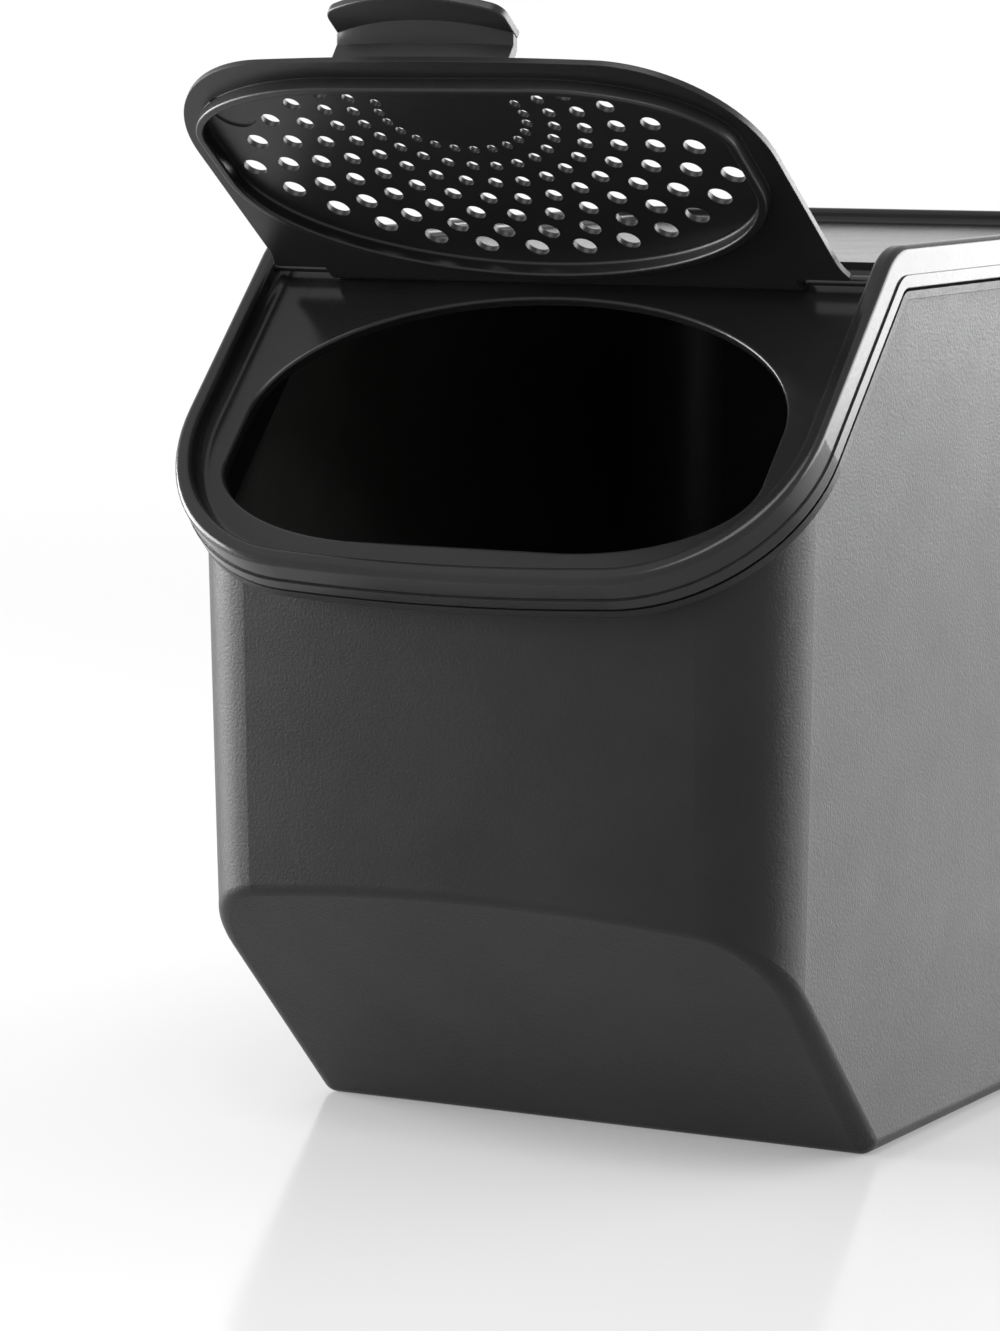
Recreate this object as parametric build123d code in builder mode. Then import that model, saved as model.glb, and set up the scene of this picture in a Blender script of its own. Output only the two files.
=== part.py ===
"""Free-standing kitchen storage bin with a lift-off lid and a perforated, hinged flap.

Millimetres, +Z up.  The origin is the middle of the flat base face.  -Y is the front.
The mouth of the bin slopes down to the front, bends, and runs level to the back, and the lid
follows it.  Two local systems describe that:
    the slope, measured from the bend line: s runs up the slope and n stands square to it,
    the flap, measured from its hinged edge: t runs to its free edge and d goes to its underside.
"""
import os
from math import atan2, cos, radians, sin, sqrt, tan

from build123d import *

os.makedirs("parts", exist_ok=True)

# --------------------------------------------------------------------------------------------
# Driving dimensions
# --------------------------------------------------------------------------------------------
# Bin body, sizes in plan at the height of the level flange
bin_half_width = 76.0
bin_front = -150.0          # crown of the bowed front wall
bin_back = 92.7
bin_corner = 22.0           # radius of the four upright corners
front_bow_radius = 473.0    # the front wall is bowed outward in plan
draft = 1.06                # degrees, every wall narrows towards the base
wall = 2.4
floor_thickness = 3.0
toe_height = 62.1           # the front wall is cut back below this height
toe_depth = 60.8            # and the cut meets the floor this far behind the wall
foot_radius = 4.0           # rounding round the base and along the cut
inner_foot_radius = 2.5

# Mouth: level flange, slope and the bend between them
mouth_height = 192.7        # underside of the level flange
bend_line = -89.6           # Y where the slope leaves the level
slope_angle = 46.2          # degrees down to the front
bend_radius = 2.0           # underside of the flange round the bend
flange_thickness = 1.9
flange_overhang = 4.2       # beyond the outer face of the wall

# Outline of the flange and of the lid, in the plane of the slope
rim_front = -92.0           # s of the crown of the front edge
rim_bow_radius = 525.0
rim_front_corner = 42.7

# Lid, heights n above the underside of the flange
lip_bottom = 2.6            # leaves a shadow gap above the flange
step_height = 5.4           # top of the lip
step_depth = 0.4            # the wall above the lip stands back by this
rim_height = 11.9           # top of the rim
rim_width = 4.2
rim_outer_edge = 1.6        # rounding of the rim's two top edges
rim_inner_edge = 1.2
plate_height = 6.85         # top of the sloping plate
plate_cove = 2.2            # radius between the plate and the inside of the rim
skin = 2.4                  # thickness of the plate, the panel and the lip
panel_height = 8.2          # top of the level rear panel
panel_cove = 1.6
panel_front = -93.0         # Y of the panel's front edge
seat_width = 1.6            # rib that stands on the flange
seat_inset = 4.8
skirt_depth = 6.0           # below the underside of the flange
skirt_thickness = 1.8
skirt_clearance = 0.5       # to the inside of the bin wall
skirt_margin = 1.0          # the skirt stops this far outside the opening

# Opening in the sloping plate
opening_side_margin = 13.1  # to the outside of the rim
opening_middle = -44.1      # s where the two halves of the outline meet
opening_rear_reach = 35.9   # half ellipse on the hinge side
opening_side = 14.0         # straight side, towards the front
opening_corner_width = 42.6   # quarter ellipses at the front corners
opening_corner_depth = 20.9
opening_edge = 0.8          # rounding of its upper edge

# Flap
flap_open_angle = 84.2      # degrees from closed to the open pose, in which it is modelled
flap_side_margin = 8.4      # to the outside of the rim
flap_start = 3.9            # t of its hinged edge
flap_free_margin = 5.2      # from the front of the opening to the crown of its free edge
flap_bow_radius = 778.0
flap_corner = 32.5          # at the free edge
flap_flare = 1.8            # the flap widens by this on each side at its hinged edge
flap_flare_length = 7.0
flap_heel_corner = 0.8      # at the hinged edge
flap_thickness = 1.3
flap_rest_height = 7.1      # n of its underside when it is closed
flap_rest_start = -3.0      # s of t = 0 when it is closed
plug_depth = 3.2            # wall round the underside, which enters the opening
plug_wall = 2.0
plug_clearance = 0.6
plug_edge = 0.5             # rounding of the wall's end
plug_foot = 0.6             # radius inside the wall's foot
dimple_radius = 5.5
dimple_depth = 0.4
dimple_side_margin = 16.6   # from the flap's side to the middle of the dimple
dimple_t = 62.9

# Perforations: rows on growing half ellipses round one centre
hole_centre = 63.2          # t
hole_rows = 7
last_row_margin = 6.1       # from the flap's side to the end of the last row's half axis
row_width_step = 9.96       # half axis across the flap, from the last row inward
row_width_easing = 0.33
first_row_depth = 13.1      # half axis along the flap
row_depth_step = 6.03
first_hole_diameter = 2.45
hole_diameter_step = 0.51
row_counts = (15, 16, 17, 16, 15, 14, 13)
row_tilts = (15, 15, 15, 5, -5, -15, -25)   # degrees that a row goes on past half a turn

# Finger tab: a riser on the outer face of the flap, and a lip from its head over the rim
tab_half_width = 21.6
tab_rise = 6.6              # from the underside plane of the flap to the underside of the lip
tab_wall = 2.0
tab_waist = 4.6             # the riser flares from this far above the underside plane
tab_waist_bow = 1.0         # how far its middle goes beyond its ends there
tab_head_reach = 1.5        # head of the riser beyond the flap's free edge, at its ends
tab_head_bow = 4.5          # and how much further it goes in the middle
tab_lip_reach = 8.4         # edge of the lip beyond the flap's free edge, at its ends
tab_lip_bow = 5.2
tab_lip_corner = 4.0
tab_edge = 0.4              # rounding of the lip's edges

# Hinge, its axis placed on the slope
hinge_s = -3.2
hinge_n = 9.7
pin_radius = 1.2
pin_running_fit = 0.05
pin_hidden_length = 6.0     # inside the barrel
pin_end_play = 0.5
pin_socket_depth = 2.8      # in the rim
pin_chamfer = 0.3
barrel_radius = 2.4
barrel_side_margin = 20.4   # from the end of the barrel to the outside of the rim
heel_depth = 2.0            # heel of the barrel, behind the axis
heel_gap = 0.1              # between the heel and the plate when the flap stands open

# --------------------------------------------------------------------------------------------
# Worked-out places
# --------------------------------------------------------------------------------------------
toe_angle = atan2(toe_height, toe_depth)
toe_foot = bin_front + (mouth_height - toe_height) * tan(radians(draft)) + toe_depth
rim_half_width = bin_half_width + flange_overhang
opening_half_width = rim_half_width - opening_side_margin
flap_half_width = rim_half_width - flap_side_margin
barrel_end = rim_half_width - barrel_side_margin
opening_front = opening_middle - opening_side - opening_corner_depth
flap_length = flap_rest_start - opening_front + flap_free_margin
dimple_x = dimple_side_margin - flap_half_width
rim_back = bin_back + flange_overhang
rim_back_corner = bin_corner + flange_overhang
slope = radians(slope_angle)
bend_setback = bend_radius * tan(slope / 2)
level_start = bend_line + bend_setback
slope_end = -bend_setback
bend_centre = (level_start, mouth_height - bend_radius)
slope_plane = Plane(
    origin=(0, bend_line, mouth_height),
    x_dir=(1, 0, 0),
    z_dir=(0, -sin(slope), cos(slope)),
)
far = 400.0                 # longer than the whole object
tolerance = 0.01


def from_slope(s, n):
    """Y and Z of a point given by its place on the slope."""
    y = bend_line + s * cos(slope) - n * sin(slope)
    z = mouth_height + s * sin(slope) + n * cos(slope)
    return y, z


hinge_y, hinge_z = from_slope(hinge_s, hinge_n)
flap_angle = radians(180 + slope_angle - flap_open_angle)
hinge_t = flap_rest_start - hinge_s
hinge_d = flap_rest_height - hinge_n
flap_plane = Plane(
    origin=(
        0,
        hinge_y - hinge_t * cos(flap_angle) + hinge_d * sin(flap_angle),
        hinge_z - hinge_t * sin(flap_angle) - hinge_d * cos(flap_angle),
    ),
    x_dir=(1, 0, 0),
    z_dir=(0, -sin(flap_angle), cos(flap_angle)),
)


# --------------------------------------------------------------------------------------------
# Outlines
# --------------------------------------------------------------------------------------------
def bowed_outline(half_width, front, back, bow_radius, front_corner):
    """Face with straight sides and back, and a bowed front edge between round corners."""
    drop = bow_radius - sqrt(bow_radius**2 - half_width**2)
    with BuildSketch() as outline:
        with BuildLine():
            Polyline(
                (-half_width, front + drop),
                (-half_width, back),
                (half_width, back),
                (half_width, front + drop),
            )
            ThreePointArc((-half_width, front + drop), (0, front), (half_width, front + drop))
        make_face()
        fillet(outline.vertices().group_by(Axis.Y)[0], front_corner)
    return outline.sketch


def bin_outline(inset):
    """Plan of the bin body, moved inward by the inset."""
    with BuildSketch() as outline:
        add(
            bowed_outline(
                bin_half_width - inset,
                bin_front + inset,
                bin_back - inset,
                front_bow_radius - inset,
                bin_corner - inset,
            )
        )
        fillet(outline.vertices().group_by(Axis.Y)[-1], bin_corner - inset)
    return outline.sketch


def flap_outline(start):
    """Flap outline in its own plane, from t = start to its bowed free edge."""
    outline = bowed_outline(flap_half_width, -flap_length, -start, flap_bow_radius, flap_corner)
    return mirror(outline, about=Plane.XZ, mode=Mode.PRIVATE)


def slope_outline(inset, back):
    """Rim outline in the plane of the slope, moved inward by the inset, up to s = back."""
    return bowed_outline(
        rim_half_width - inset,
        rim_front + inset,
        back,
        rim_bow_radius - inset,
        rim_front_corner - inset,
    )


def level_outline(inset, front):
    """Rim outline in plan behind Y = front, moved inward by the inset."""
    with BuildSketch() as outline:
        with Locations((0, front)):
            Rectangle(
                2 * (rim_half_width - inset),
                rim_back - inset - front,
                align=(Align.CENTER, Align.MIN),
            )
        fillet(outline.vertices().group_by(Axis.Y)[-1], rim_back_corner - inset)
    return outline.sketch


def opening_outline(inset):
    """The opening in the sloping plate: half an ellipse behind, a squarer half in front."""
    half_width = opening_half_width - inset
    corner_width = opening_corner_width - inset
    corner_depth = opening_corner_depth - inset
    corner_x = opening_half_width - opening_corner_width
    corner_s = opening_middle - opening_side
    with BuildSketch() as outline:
        with BuildLine():
            rear_reach = opening_rear_reach - inset
            EllipticalCenterArc((0, opening_middle), half_width, rear_reach, 0, arc_size=180)
            Line((-half_width, opening_middle), (-half_width, corner_s))
            EllipticalCenterArc((-corner_x, corner_s), corner_width, corner_depth, 180, arc_size=90)
            Line((-corner_x, corner_s - corner_depth), (corner_x, corner_s - corner_depth))
            EllipticalCenterArc((corner_x, corner_s), corner_width, corner_depth, 270, arc_size=90)
            Line((half_width, corner_s), (half_width, opening_middle))
        make_face()
    return outline.sketch


# --------------------------------------------------------------------------------------------
# Layers that follow the mouth: a slab on the slope, a wedge round the bend, a slab on the level
# --------------------------------------------------------------------------------------------
def bend_sector(bottom, top):
    """Side view of the bend between two heights."""
    with BuildSketch() as sector:
        with BuildLine():
            outer = CenterArc(bend_centre, bend_radius + top, 90, slope_angle)
            inner = CenterArc(bend_centre, bend_radius + bottom, 90, slope_angle)
            Line(outer @ 0, inner @ 0)
            Line(outer @ 1, inner @ 1)
        make_face()
    return sector.sketch


def rim_layer(inset, bottom, top, with_bend=True):
    """Solid between two heights above the underside of the flange, inside the rim outline."""
    with BuildPart() as layer:
        with BuildSketch(slope_plane.offset(bottom)):
            add(slope_outline(inset, slope_end))
        extrude(amount=top - bottom)
        with BuildSketch(Plane.XY.offset(mouth_height + bottom)):
            add(level_outline(inset, level_start))
        extrude(amount=top - bottom)
        if with_bend:
            with BuildSketch(Plane.YZ):
                add(bend_sector(bottom, top))
            extrude(amount=rim_half_width - inset, both=True)
    return layer.part


def side_band(bottom, top):
    """Everything between two heights above the mouth, wider and longer than the bin."""
    with BuildPart() as band:
        with BuildSketch(Plane.YZ) as side:
            with BuildLine():
                Polyline(
                    from_slope(-far, bottom),
                    (bend_line - bottom * tan(slope / 2), mouth_height + bottom),
                    (far, mouth_height + bottom),
                    (far, mouth_height + top),
                    (bend_line - top * tan(slope / 2), mouth_height + top),
                    from_slope(-far, top),
                    close=True,
                )
            make_face()
            if bend_radius + bottom > 0:
                lower_corner = side.vertices().sort_by_distance((bend_line, mouth_height))[0]
                fillet(lower_corner, bend_radius + bottom)
        extrude(amount=far, both=True)
    return band.part


# --------------------------------------------------------------------------------------------
# Bin body
# --------------------------------------------------------------------------------------------
def tub(inset, floor_height, edge_radius):
    """Drafted tub cut back at the toe: the outside of the bin, or the space inside it."""
    top = mouth_height + flange_thickness
    toe = Plane(
        origin=(0, toe_foot, 0),
        x_dir=(1, 0, 0),
        z_dir=(0, -sin(toe_angle), -cos(toe_angle)),
    )
    with BuildPart() as blank:
        with BuildSketch(Plane.XY.offset(top)):
            add(bin_outline(inset))
        extrude(amount=-(top - floor_height), taper=draft)
        split(bisect_by=toe.offset(-inset), keep=Keep.BOTTOM)
        toe_face = blank.faces().sort_by(Axis((0, 0, 0), toe.z_dir))[-1]
        base_face = blank.faces().sort_by(Axis.Z)[0]
        fillet(toe_face.edges() + base_face.edges(), edge_radius)
    return blank.part


outside = tub(0, 0, foot_radius)
inside = tub(wall, floor_thickness, inner_foot_radius)
above_mouth = side_band(flange_thickness, far)
flange = rim_layer(0, 0, flange_thickness)

with BuildPart() as bin_body:
    add(outside)
    add(above_mouth, mode=Mode.SUBTRACT)
    add(flange)
    add(inside, mode=Mode.SUBTRACT)
bin_body.part.label = "bin_body"

# --------------------------------------------------------------------------------------------
# Lid: one skin that follows the mouth, with a raised rim, a sloping plate and a level panel
# --------------------------------------------------------------------------------------------
recess_inset = step_depth + rim_width
plate_underside = plate_height - skin


def is_bend_top(face):
    """True for the parts of the rim's top that go round the bend."""
    radius = bend_radius + rim_height
    return face.geom_type == GeomType.CYLINDER and abs(face.radius - radius) < tolerance


def free_edges(faces):
    """Edges that only one of the faces has, so the outer and inner edges of their union."""
    edges = [edge for face in faces for edge in face.edges()]
    return ShapeList(edge for edge in edges if sum(edge.is_same(other) for other in edges) == 1)


def is_plate(face):
    """True for the upper face of the sloping plate."""
    height = (face.center() - slope_plane.origin).dot(slope_plane.z_dir)
    return face.geom_type == GeomType.PLANE and abs(height - plate_height) < tolerance


with BuildPart() as slope_recess:
    with BuildSketch(slope_plane.offset(plate_height)):
        add(slope_outline(recess_inset, panel_front - bend_line + far))
    extrude(amount=far)
    floor = slope_recess.faces().sort_by(Axis((0, 0, 0), slope_plane.z_dir))[0]
    fillet(floor.edges().sort_by(Axis.Y)[:-1], plate_cove)
    split(bisect_by=Plane.XZ.offset(-panel_front), keep=Keep.TOP)

with BuildPart() as level_recess:
    with BuildSketch(Plane.XY.offset(mouth_height + panel_height)):
        add(level_outline(recess_inset, panel_front))
    extrude(amount=far)
    floor = level_recess.faces().sort_by(Axis.Z)[0]
    fillet(floor.edges().sort_by(Axis.Y)[1:], panel_cove)

with BuildPart() as rim_block:
    add(rim_layer(step_depth, step_height, rim_height))
    add(slope_recess.part, mode=Mode.SUBTRACT)
    add(level_recess.part, mode=Mode.SUBTRACT)
    slope_top = rim_block.faces().sort_by(Axis((0, 0, 0), slope_plane.z_dir))[-1]
    level_top = rim_block.faces().sort_by(Axis.Z)[-1]
    bend_tops = rim_block.faces().filter_by(is_bend_top)
    rim_outlines = edges_to_wires(free_edges([slope_top, level_top, *bend_tops]))
    inner_outline, outer_outline = sorted(rim_outlines, key=lambda outline: outline.length)
    fillet(inner_outline.edges(), rim_inner_edge)
    fillet(outer_outline.edges(), rim_outer_edge)

lip = rim_layer(0, lip_bottom, step_height)
lip_hollow = rim_layer(skin, lip_bottom, plate_underside)
seat = rim_layer(seat_inset, flange_thickness, plate_underside, with_bend=False)
seat_hollow = rim_layer(seat_inset + seat_width, flange_thickness, plate_underside)
skirt_band = side_band(-skirt_depth, plate_underside)

with BuildPart() as skirt:
    for inset, mode in (
        (wall + skirt_clearance, Mode.ADD),
        (wall + skirt_clearance + skirt_thickness, Mode.SUBTRACT),
    ):
        with BuildSketch(Plane.XY.offset(mouth_height + plate_underside)):
            add(bin_outline(inset))
        extrude(amount=-mouth_height, taper=draft, mode=mode)
    add(skirt_band, mode=Mode.INTERSECT)
    with BuildSketch(slope_plane.offset(-far)):
        add(opening_outline(-skirt_margin))
    extrude(amount=2 * far, mode=Mode.SUBTRACT)

with BuildPart() as lid:
    add(lip)
    add(lip_hollow, mode=Mode.SUBTRACT)
    add(rim_block.part)
    with BuildSketch(Plane.XY.offset(mouth_height + plate_underside)):
        add(level_outline(seat_inset + seat_width, panel_front + skin))
    extrude(amount=panel_height - plate_height, mode=Mode.SUBTRACT)
    # Opening, with its upper edge rounded
    with BuildSketch(slope_plane.offset(plate_underside)):
        add(opening_outline(0))
    extrude(amount=skin, mode=Mode.SUBTRACT)
    plate_face = lid.faces().filter_by(is_plate)[0]
    fillet(plate_face.inner_wires()[0].edges(), opening_edge)
    # Seat rib on the flange and skirt inside the bin
    add(seat)
    add(seat_hollow, mode=Mode.SUBTRACT)
    add(skirt.part)
    # Sockets of the hinge pins
    with BuildSketch(Plane.YZ):
        with Locations((hinge_y, hinge_z)):
            Circle(pin_radius)
    extrude(amount=rim_half_width - recess_inset + pin_socket_depth, both=True, mode=Mode.SUBTRACT)
lid.part.label = "lid"

# --------------------------------------------------------------------------------------------
# Flap, in its open pose
# --------------------------------------------------------------------------------------------
def plug_outline(inset):
    """The lid's opening seen from the closed flap, moved inward by the inset."""
    outline = mirror(opening_outline(inset), about=Plane.XZ, mode=Mode.PRIVATE)
    return Pos(0, flap_rest_start) * outline


def row_places(row):
    """Centres of the perforations of one row, evenly spaced in angle along its half ellipse."""
    rows_inward = hole_rows - 1 - row
    last_half_across = flap_half_width - last_row_margin
    half_across = last_half_across - row_width_step * rows_inward + row_width_easing * rows_inward**2
    half_along = first_row_depth + row_depth_step * row
    start = -row_tilts[row]
    step = (180 + 2 * row_tilts[row]) / (row_counts[row] - 1)
    angles = [radians(start + step * i) for i in range(row_counts[row])]
    return [(half_across * cos(a), hole_centre - half_along * sin(a)) for a in angles]


def tab_section(reach, extra_bow, depth):
    """Face across the tab, its outer edge bowed beyond the flap's own edge."""
    ends = flap_length - edge_bow + reach
    middle = ends + extra_bow
    with BuildSketch() as section:
        with BuildLine():
            ThreePointArc((-tab_half_width, ends), (0, middle), (tab_half_width, ends))
            Line((tab_half_width, ends), (tab_half_width, ends - depth))
            ThreePointArc(
                (tab_half_width, ends - depth),
                (0, middle - depth),
                (-tab_half_width, ends - depth),
            )
            Line((-tab_half_width, ends - depth), (-tab_half_width, ends))
        make_face()
    return section.sketch


def is_flap_underside(face):
    """True for the parts of the flap's plain underside."""
    depth = (face.center() - flap_plane.origin).dot(flap_plane.z_dir)
    return face.geom_type == GeomType.PLANE and abs(depth) < tolerance


def free_lip_edges(face):
    """Edges of a face of the tab's lip, without the longest, which joins the riser."""
    return face.edges().sort_by(SortBy.LENGTH)[:-1]


along_flap_normal = Axis((0, 0, 0), flap_plane.z_dir)
edge_bow = flap_bow_radius - sqrt(flap_bow_radius**2 - tab_half_width**2)
with BuildPart() as riser:
    for height, reach, extra_bow in (
        (flap_thickness, 0, edge_bow),
        (tab_waist, 0, tab_waist_bow),
        (tab_rise, tab_head_reach, tab_head_bow),
    ):
        with BuildSketch(flap_plane.offset(-height)):
            add(tab_section(reach, extra_bow, tab_wall))
    loft(ruled=True)

with BuildPart() as plug:
    with BuildSketch(flap_plane):
        add(plug_outline(plug_clearance))
        add(plug_outline(plug_clearance + plug_wall), mode=Mode.SUBTRACT)
    extrude(amount=plug_depth)
    fillet(plug.faces().sort_by(along_flap_normal)[-1].edges(), plug_edge)

with BuildPart() as tab_lip:
    with BuildSketch(flap_plane.offset(-tab_rise - tab_wall)) as lip_shape:
        add(tab_section(tab_lip_reach, tab_lip_bow, tab_lip_reach - tab_head_reach + tab_wall))
        fillet(lip_shape.vertices().sort_by(Axis.Y)[-2:], tab_lip_corner)
    extrude(amount=tab_wall)
    lip_faces = tab_lip.faces().sort_by(along_flap_normal)
    fillet(free_lip_edges(lip_faces[0]) + free_lip_edges(lip_faces[-1]), tab_edge)

with BuildPart() as flap:
    with BuildSketch(flap_plane.offset(-flap_thickness)) as plate:
        add(flap_outline(flap_start))
        flare_end = flap_half_width + flap_flare
        flare_start = flap_start + flap_flare_length
        with BuildLine():
            TangentArc((flap_half_width, flare_start), (flare_end, flap_start), tangent=(0, -1))
            Line((flare_end, flap_start), (-flare_end, flap_start))
            TangentArc((-flap_half_width, flare_start), (-flare_end, flap_start), tangent=(0, -1))
            Line((-flap_half_width, flare_start), (flap_half_width, flare_start))
        make_face()
        fillet(plate.vertices().group_by(Axis.Y)[0], flap_heel_corner)
    extrude(amount=flap_thickness)
    add(plug.part)
    underside = flap.faces().filter_by(is_flap_underside).sort_by(SortBy.AREA)[-1]
    fillet(underside.edges(), plug_foot)
    add(riser.part)
    add(tab_lip.part)
    # Hinge: a barrel, a neck to the plate, and a heel that stops the flap when it is open
    with BuildSketch(Plane.YZ):
        with Locations((hinge_y, hinge_z)):
            Circle(barrel_radius)
    extrude(amount=barrel_end, both=True)
    with BuildSketch(flap_plane):
        with Locations((0, hinge_t)):
            Rectangle(2 * barrel_end, flap_start - hinge_t, align=(Align.CENTER, Align.MIN))
    extrude(amount=hinge_d)
    with BuildSketch(slope_plane.offset(plate_height + heel_gap)):
        with Locations((0, hinge_s)):
            Rectangle(2 * barrel_end, heel_depth, align=(Align.CENTER, Align.MIN))
    extrude(amount=hinge_n - plate_height - heel_gap)
    # Bores of the hinge pins
    for side in (-1, 1):
        with BuildSketch(Plane.YZ.offset(side * barrel_end)):
            with Locations((hinge_y, hinge_z)):
                Circle(pin_radius + pin_running_fit)
        extrude(amount=-side * (pin_hidden_length + pin_end_play), mode=Mode.SUBTRACT)
    # Perforations
    with BuildSketch(flap_plane.offset(-flap_thickness)):
        for row in range(hole_rows):
            with Locations(*row_places(row)):
                Circle((first_hole_diameter + hole_diameter_step * row) / 2)
    extrude(amount=flap_thickness, mode=Mode.SUBTRACT)
    with BuildSketch(flap_plane):
        with Locations((dimple_x, dimple_t)):
            Circle(dimple_radius)
    extrude(amount=-dimple_depth, mode=Mode.SUBTRACT)
flap.part.label = "flap"

# --------------------------------------------------------------------------------------------
# Hinge pins
# --------------------------------------------------------------------------------------------
pin_start = barrel_end - pin_hidden_length
pin_length = rim_half_width - recess_inset + pin_socket_depth - pin_start

with BuildPart() as hinge_pin_right:
    with BuildSketch(Plane.YZ.offset(pin_start)):
        with Locations((hinge_y, hinge_z)):
            Circle(pin_radius)
    extrude(amount=pin_length)
    chamfer(hinge_pin_right.edges().sort_by(Axis.X)[0], pin_chamfer)
hinge_pin_right.part.label = "hinge_pin_right"

with BuildPart() as hinge_pin_left:
    mirror(hinge_pin_right.part, about=Plane.YZ)
hinge_pin_left.part.label = "hinge_pin_left"

for piece in (bin_body, lid, flap, hinge_pin_left, hinge_pin_right):
    export_step(piece.part, f"parts/{piece.part.label}.step")
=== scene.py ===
"""Finishes, table, room light and camera of the storage bin.

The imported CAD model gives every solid. This script paints its nodes and sets the picture up.
Lengths are in metres, +Z is up and the bin's front looks along -Y.
"""

from math import cos, radians, sin

import bmesh
import bpy
from mathutils import Matrix, Vector

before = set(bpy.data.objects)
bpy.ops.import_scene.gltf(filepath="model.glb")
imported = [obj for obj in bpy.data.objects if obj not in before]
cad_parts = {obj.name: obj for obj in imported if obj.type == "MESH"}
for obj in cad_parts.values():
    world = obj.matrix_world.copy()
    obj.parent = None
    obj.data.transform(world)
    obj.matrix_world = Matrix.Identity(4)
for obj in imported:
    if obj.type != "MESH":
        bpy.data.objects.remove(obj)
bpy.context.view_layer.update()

# Camera, as found from the bin's edges in the photograph
camera_place = (0.52358, -1.06988, 0.25437)
camera_yaw = radians(29.09)             # turned from the +Y way towards -X
camera_pitch = radians(7.54)            # tipped down
camera_roll = radians(-0.15)
camera_lens = 132.67                    # millimetres, against the sensor's long side
sensor_long_side = 36.0                 # millimetres
camera_near, camera_far = 0.05, 50.0

# Moulded plastic: noises that the four finishes share, in waves per metre
clouds = dict(scale=22.0, detail=4.0, roughness=0.55)           # slow change of colour
gloss_patches = dict(scale=60.0, detail=3.0, roughness=0.60)    # slow change of gloss
rub_patches = dict(scale=140.0, detail=3.0, roughness=0.65)     # stretches of edge that are rubbed
inside_light_patches = dict(scale=35.0, detail=5.0, roughness=0.60)      # stronger and weaker painted light inside the bin
grain_noise = dict(detail=2.0, roughness=0.60)                  # each finish gives its own scale

# The stretch of each noise that is spread over its whole effect
cloud_range = (0.35, 0.68)
gloss_range = (0.30, 0.70)
rub_range = (0.42, 0.62)
inside_light_range = (0.25, 0.75)

# Gloss: how much of a finish's unevenness follows the grain and how much the slow patches
grain_share = 0.6
patch_share = 0.4

# Edges
edge_round = 0.0003                     # radius that the mould leaves on every edge
rub_reach = 0.0007                      # how far from an edge hands and shelves rub
rub_turn = (0.985, 0.90)                # cosine of the turn where rubbing starts and where it is full
rub_strength = 0.8
rub_paling = 1.6                        # a rubbed edge's colour against the pale colour
rub_polish = 0.25                       # share of the roughness that rubbing takes away
edge_samples = 4

# Painted light inside the bin, paler than its plastic, where the lamps reach little
inside_middle = (0.0, -0.03, 0.10)
inside_reach = (0.0, -0.01)             # how far a face lies behind that middle, for no and for full dust
# The pale grey below is painted on the bin's inside as painted light
inside_light_colour = (0.075, 0.073, 0.070)
inside_light_cover = (0.6, 1.0)                 # share of the painted light's colour, weak and strong

# Table
table_half_side = 6.0
table_grey = 0.62
table_roughness = 0.13
table_specular = 0.35
shadow_middle = (0.0, -0.05, 0.0)       # round this the table keeps the bin's shadow
shadow_reach = (0.25, 1.6)              # distances between which the table fades to white
table_glow = (0.25, 1.0)                # share of pure white at the first and the second distance

# Room
dim_way = (0.35, -0.93, 0.10)           # the side of the room that lights the bin least
dim_reach = (0.35, 0.92)                # cosine of the turn from it, at the dimming's start and end
room_light = (0.60, 0.25)               # strength away from that side and towards it


# ---------------------------------------------------------------- nodes of a material

def new_material(name):
    """A new node material and its Principled shader."""
    material = bpy.data.materials.new(name)
    material.use_nodes = True
    shader = material.node_tree.nodes["Principled BSDF"]
    return material, shader


def node(tree, kind, **settings):
    """A new node. Each setting is a property, a constant for an input, or a socket to link to one."""
    made = tree.nodes.new(kind)
    for key, value in settings.items():
        socket_name = key.replace("_", " ").title()
        if isinstance(value, bpy.types.NodeSocket):
            tree.links.new(value, made.inputs[socket_name])
        elif hasattr(made, key):
            setattr(made, key, value)
        else:
            made.inputs[socket_name].default_value = value
    return made


def with_terms(tree, made, terms):
    """The node with its inputs given in order, each by a socket or a constant."""
    for socket, term in zip(made.inputs, terms):
        if isinstance(term, bpy.types.NodeSocket):
            tree.links.new(term, socket)
        else:
            socket.default_value = term
    return made


def maths(tree, operation, *terms):
    """The value that an operation makes of its terms."""
    made = node(tree, "ShaderNodeMath", operation=operation)
    return with_terms(tree, made, terms).outputs["Value"]


def vector_maths(tree, operation, first, second, result="Value"):
    """The value, or the vector, that an operation makes of two vectors."""
    made = node(tree, "ShaderNodeVectorMath", operation=operation)
    return with_terms(tree, made, (first, second)).outputs[result]


def stretched(tree, value, from_range, to_range, blend="LINEAR"):
    """A value carried from one range to another and held to its ends."""
    ranged = node(
        tree,
        "ShaderNodeMapRange",
        interpolation_type=blend,
        from_min=from_range[0],
        from_max=from_range[1],
        to_min=to_range[0],
        to_max=to_range[1],
        value=value,
    )
    return ranged.outputs["Result"]


def noise(tree, place, **settings):
    """Noise between 0 and 1 that is fixed to the piece."""
    return node(tree, "ShaderNodeTexNoise", vector=place, **settings).outputs["Fac"]


def object_place(tree):
    """The place on the piece, in its own coordinates."""
    return node(tree, "ShaderNodeTexCoord").outputs["Object"]


def face_normal(tree):
    """The way that the face itself looks."""
    return node(tree, "ShaderNodeNewGeometry").outputs["Normal"]


def rounded_normal(tree, radius):
    """The way that the face looks once its edges have that radius."""
    return node(tree, "ShaderNodeBevel", samples=edge_samples, radius=radius).outputs["Normal"]


def mixed_colour(tree, share, under, over):
    """One colour over another by a share between 0 and 1."""
    mix = node(tree, "ShaderNodeMix", data_type="RGBA", factor=share, a=under, b=over)
    return mix.outputs["Result"]


def mixed_shader(tree, share, under, over):
    """One shader over another by a share between 0 and 1."""
    mix = node(tree, "ShaderNodeMixShader")
    return with_terms(tree, mix, (share, under, over)).outputs["Shader"]


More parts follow.
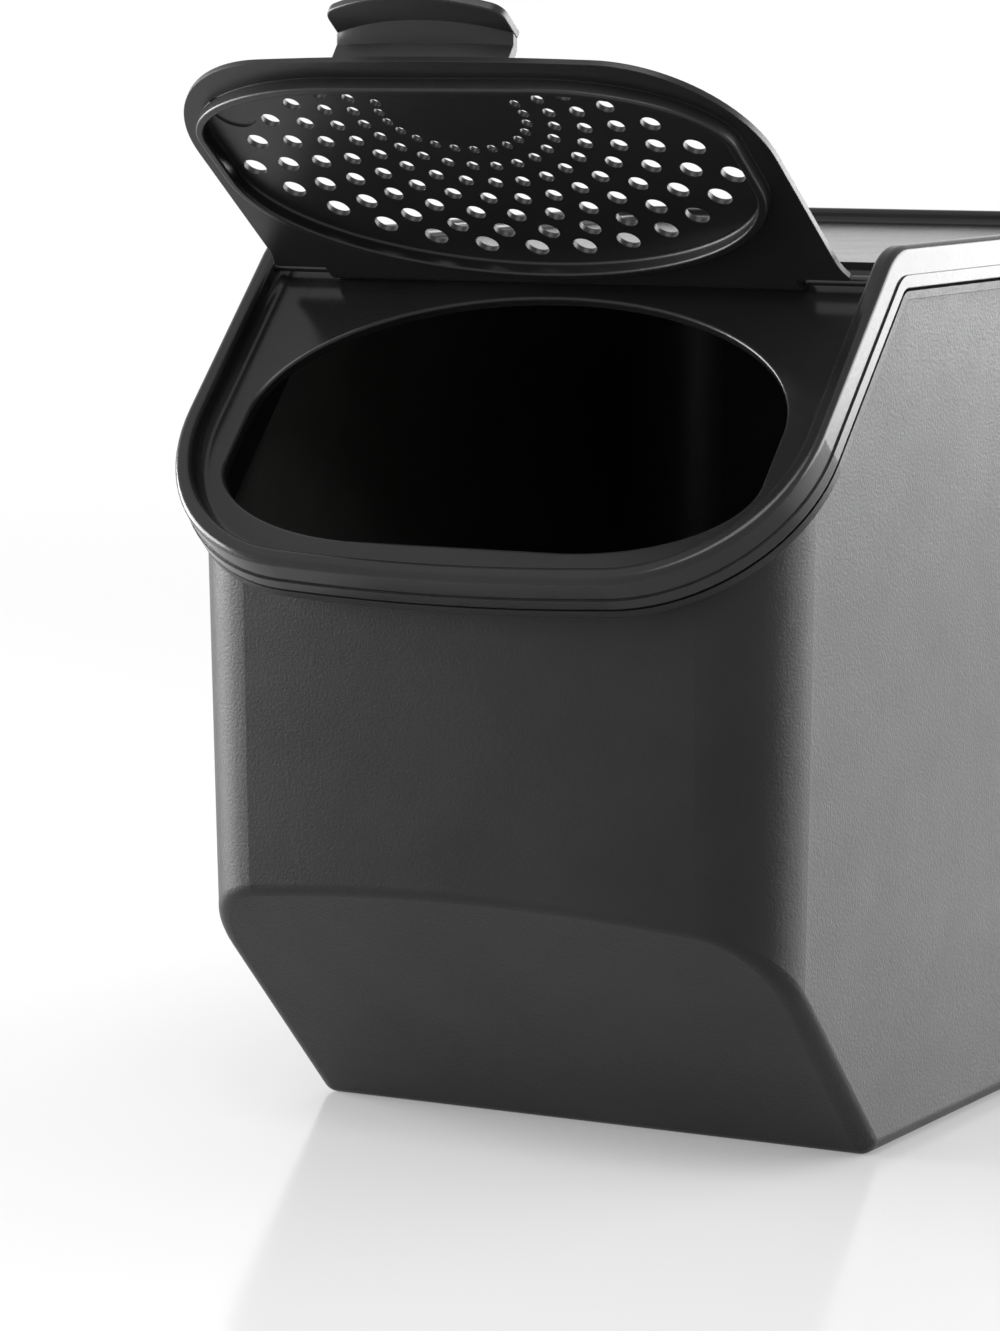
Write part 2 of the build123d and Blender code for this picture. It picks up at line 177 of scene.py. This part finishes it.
def opaque(colour):
    """A colour with full cover."""
    return (*colour, 1.0)


def grey(value):
    """A neutral colour with full cover."""
    return opaque((value, value, value))


def seen_rays(tree):
    """A value of 1 for rays from the camera and for those that gloss or clear material sends on."""
    rays = node(tree, "ShaderNodeLightPath").outputs
    seen_or_mirrored = maths(tree, "MAXIMUM", rays["Is Camera Ray"], rays["Is Glossy Ray"])
    return maths(tree, "MAXIMUM", seen_or_mirrored, rays["Is Transmission Ray"])


# ---------------------------------------------------------------- moulded plastic

def rubbed_edges(tree, place):
    """A mask that is strongest in patches along the edges, where hands and shelves rub."""
    turn = vector_maths(tree, "DOT_PRODUCT", rounded_normal(tree, rub_reach), face_normal(tree))
    near_edge = stretched(tree, turn, rub_turn, (0.0, 1.0))
    patches = stretched(tree, noise(tree, place, **rub_patches), rub_range, (0.0, rub_strength))
    return maths(tree, "MULTIPLY", near_edge, patches)


def clouded_colour(tree, place, rubbed, dark, pale):
    """Slow clouds between two greys, paler where the edges are rubbed."""
    ramp = node(tree, "ShaderNodeValToRGB", fac=noise(tree, place, **clouds))
    for stop, position, value in zip(ramp.color_ramp.elements, cloud_range, (dark, pale)):
        stop.position = position
        stop.color = grey(value)
    return mixed_colour(tree, rubbed, ramp.outputs["Color"], grey(rub_paling * pale))


def uneven_gloss(tree, place, grain, rubbed, roughness, unevenness):
    """Roughness that follows the grain and slow patches, smoother where the edges are rubbed."""
    by_grain = grain_share * unevenness
    by_patch = patch_share * unevenness
    fine = stretched(tree, grain, gloss_range, (-by_grain, by_grain))
    patches = noise(tree, place, **gloss_patches)
    slow = stretched(tree, patches, gloss_range, (roughness - by_patch, roughness + by_patch))
    both = maths(tree, "ADD", fine, slow)
    return maths(tree, "MULTIPLY_ADD", rubbed, -rub_polish * roughness, both)


def grained_relief(tree, grain, grain_depth):
    """The grain's relief, on edges that the mould leaves slightly round."""
    bump = node(
        tree,
        "ShaderNodeBump",
        strength=1.0,
        distance=grain_depth,
        height=grain,
        normal=rounded_normal(tree, edge_round),
    )
    return bump.outputs["Normal"]


def moulded_plastic(name, dark, pale, roughness, unevenness, grain_scale, grain_depth, specular):
    """Moulded plastic: cloudy charcoal, uneven gloss, fine grain and edges rubbed smooth."""
    material, shader = new_material(name)
    tree = material.node_tree
    place = object_place(tree)
    rubbed = rubbed_edges(tree, place)
    grain = noise(tree, place, scale=grain_scale, **grain_noise)

    colour = clouded_colour(tree, place, rubbed, dark, pale)
    gloss = uneven_gloss(tree, place, grain, rubbed, roughness, unevenness)
    relief = grained_relief(tree, grain, grain_depth)
    tree.links.new(colour, shader.inputs["Base Color"])
    tree.links.new(gloss, shader.inputs["Roughness"])
    tree.links.new(relief, shader.inputs["Normal"])
    shader.inputs["Specular IOR Level"].default_value = specular
    return material


def paint_light_inside(material):
    """A paler colour painted on the faces that look back to the middle of the bin, its inside: painted
    light where the lamps reach little.
    """
    tree = material.node_tree
    shader = tree.nodes["Principled BSDF"]
    painted = shader.inputs["Base Color"].links[0].from_socket
    place = object_place(tree)
    outward = vector_maths(tree, "SUBTRACT", place, inside_middle, result="Vector")
    facing = vector_maths(tree, "DOT_PRODUCT", outward, face_normal(tree))
    inside = stretched(tree, facing, inside_reach, (0.0, 1.0))
    cover = stretched(tree, noise(tree, place, **inside_light_patches), inside_light_range, inside_light_cover)
    share = maths(tree, "MULTIPLY", inside, cover)
    # Painted light: the inside is painted paler, in weaker and stronger patches
    lit_inside = mixed_colour(tree, share, painted, opaque(inside_light_colour))
    tree.links.new(lit_inside, shader.inputs["Base Color"])


body_finish = moulded_plastic(
    "spark grained charcoal",
    dark=0.008,
    pale=0.013,
    roughness=0.40,
    unevenness=0.06,
    grain_scale=1500.0,
    grain_depth=0.00007,
    specular=0.22,
)
# Painted light on the faces inside the bin
paint_light_inside(body_finish)

lid_finish = moulded_plastic(
    "satin charcoal",
    dark=0.009,
    pale=0.013,
    roughness=0.19,
    unevenness=0.04,
    grain_scale=900.0,
    grain_depth=0.000010,
    specular=0.26,
)

flap_finish = moulded_plastic(
    "satin black",
    dark=0.008,
    pale=0.010,
    roughness=0.34,
    unevenness=0.04,
    grain_scale=900.0,
    grain_depth=0.000012,
    specular=0.30,
)

pin_finish = moulded_plastic(
    "gloss black",
    dark=0.006,
    pale=0.009,
    roughness=0.16,
    unevenness=0.02,
    grain_scale=700.0,
    grain_depth=0.000006,
    specular=0.5,
)

finishes = {
    "bin_body": body_finish,
    "lid": lid_finish,
    "flap": flap_finish,
    "hinge_pin_left": pin_finish,
    "hinge_pin_right": pin_finish,
}
for name, finish in finishes.items():
    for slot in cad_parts[name].material_slots:
        slot.material = finish


# ---------------------------------------------------------------- table

def white_table():
    """A glossy white table that keeps the bin's shadow and fades to pure white further out."""
    material, shader = new_material("white table")
    tree = material.node_tree
    shader.inputs["Base Color"].default_value = grey(table_grey)
    shader.inputs["Roughness"].default_value = table_roughness
    shader.inputs["Specular IOR Level"].default_value = table_specular
    distance = vector_maths(tree, "DISTANCE", object_place(tree), shadow_middle)
    fade = stretched(tree, distance, shadow_reach, table_glow, "SMOOTHSTEP")
    share = maths(tree, "MULTIPLY", seen_rays(tree), fade)
    white = node(tree, "ShaderNodeEmission").outputs["Emission"]
    surface = mixed_shader(tree, share, shader.outputs["BSDF"], white)
    tree.links.new(surface, tree.nodes["Material Output"].inputs["Surface"])
    return material


floor_mesh = bpy.data.meshes.new("floor")
shape = bmesh.new()
bmesh.ops.create_grid(shape, x_segments=1, y_segments=1, size=table_half_side)
shape.to_mesh(floor_mesh)
shape.free()
floor_mesh.materials.append(white_table())
floor = bpy.data.objects.new("floor", floor_mesh)
bpy.context.collection.objects.link(floor)


# ---------------------------------------------------------------- room

def white_background(tree, strength):
    """White light from all round."""
    background = node(tree, "ShaderNodeBackground", strength=strength)
    background.inputs["Color"].default_value = grey(1.0)
    return background.outputs["Background"]


def white_room():
    """A white backdrop, whose light on the bin is weaker from the front."""
    world = bpy.data.worlds.new("studio")
    world.use_nodes = True
    tree = world.node_tree
    tree.nodes.clear()
    way = node(tree, "ShaderNodeTexCoord").outputs["Generated"]
    dim_side = Vector(dim_way).normalized()
    towards = vector_maths(tree, "DOT_PRODUCT", way, dim_side)
    strength = stretched(tree, towards, dim_reach, room_light, "SMOOTHSTEP")
    light = white_background(tree, strength)
    backdrop = white_background(tree, 1.0)
    node(tree, "ShaderNodeOutputWorld", surface=mixed_shader(tree, seen_rays(tree), light, backdrop))
    return world


bpy.context.scene.world = white_room()


# ---------------------------------------------------------------- lamps

def softbox(name, place, aim, width, height, watts):
    """A rectangular soft lamp at a place, looking at a point."""
    lamp = bpy.data.lights.new(name, "AREA")
    lamp.shape = "RECTANGLE"
    lamp.size = width
    lamp.size_y = height
    lamp.energy = watts
    lamp_object = bpy.data.objects.new(name, lamp)
    bpy.context.collection.objects.link(lamp_object)
    look = Vector(aim) - Vector(place)
    turn = look.to_track_quat("-Z", "Y").to_matrix().to_4x4()
    lamp_object.matrix_world = Matrix.Translation(place) @ turn


# Both side lamps stand low, so that the level top of the lid seldom mirrors them
softbox("right softbox", (1.28, 1.18, 0.36), aim=(0.05, 0.0, 0.20), width=2.4, height=0.8, watts=58.0)
softbox("left softbox", (-1.40, -0.36, 0.34), aim=(0.0, 0.0, 0.16), width=1.1, height=0.7, watts=46.0)
softbox("top softbox", (0.15, -0.95, 1.30), aim=(0.0, -0.1, 0.1), width=1.0, height=0.8, watts=15.0)


# ---------------------------------------------------------------- camera

def photo_camera():
    """The camera where the photograph was taken from, turned as it was."""
    ahead = Vector((
        -sin(camera_yaw) * cos(camera_pitch),
        cos(camera_yaw) * cos(camera_pitch),
        -sin(camera_pitch),
    ))
    level_right = Vector((cos(camera_yaw), sin(camera_yaw), 0.0))
    level_up = level_right.cross(ahead)
    right = cos(camera_roll) * level_right + sin(camera_roll) * level_up
    up = cos(camera_roll) * level_up - sin(camera_roll) * level_right
    data = bpy.data.cameras.new("photo camera")
    data.lens = camera_lens
    data.sensor_width = sensor_long_side
    data.clip_start = camera_near
    data.clip_end = camera_far
    camera = bpy.data.objects.new("photo camera", data)
    bpy.context.collection.objects.link(camera)
    turn = Matrix((right, up, -ahead)).transposed().to_4x4()
    camera.matrix_world = Matrix.Translation(camera_place) @ turn
    return camera


bpy.context.scene.camera = photo_camera()
bpy.context.scene.view_settings.view_transform = "Standard"
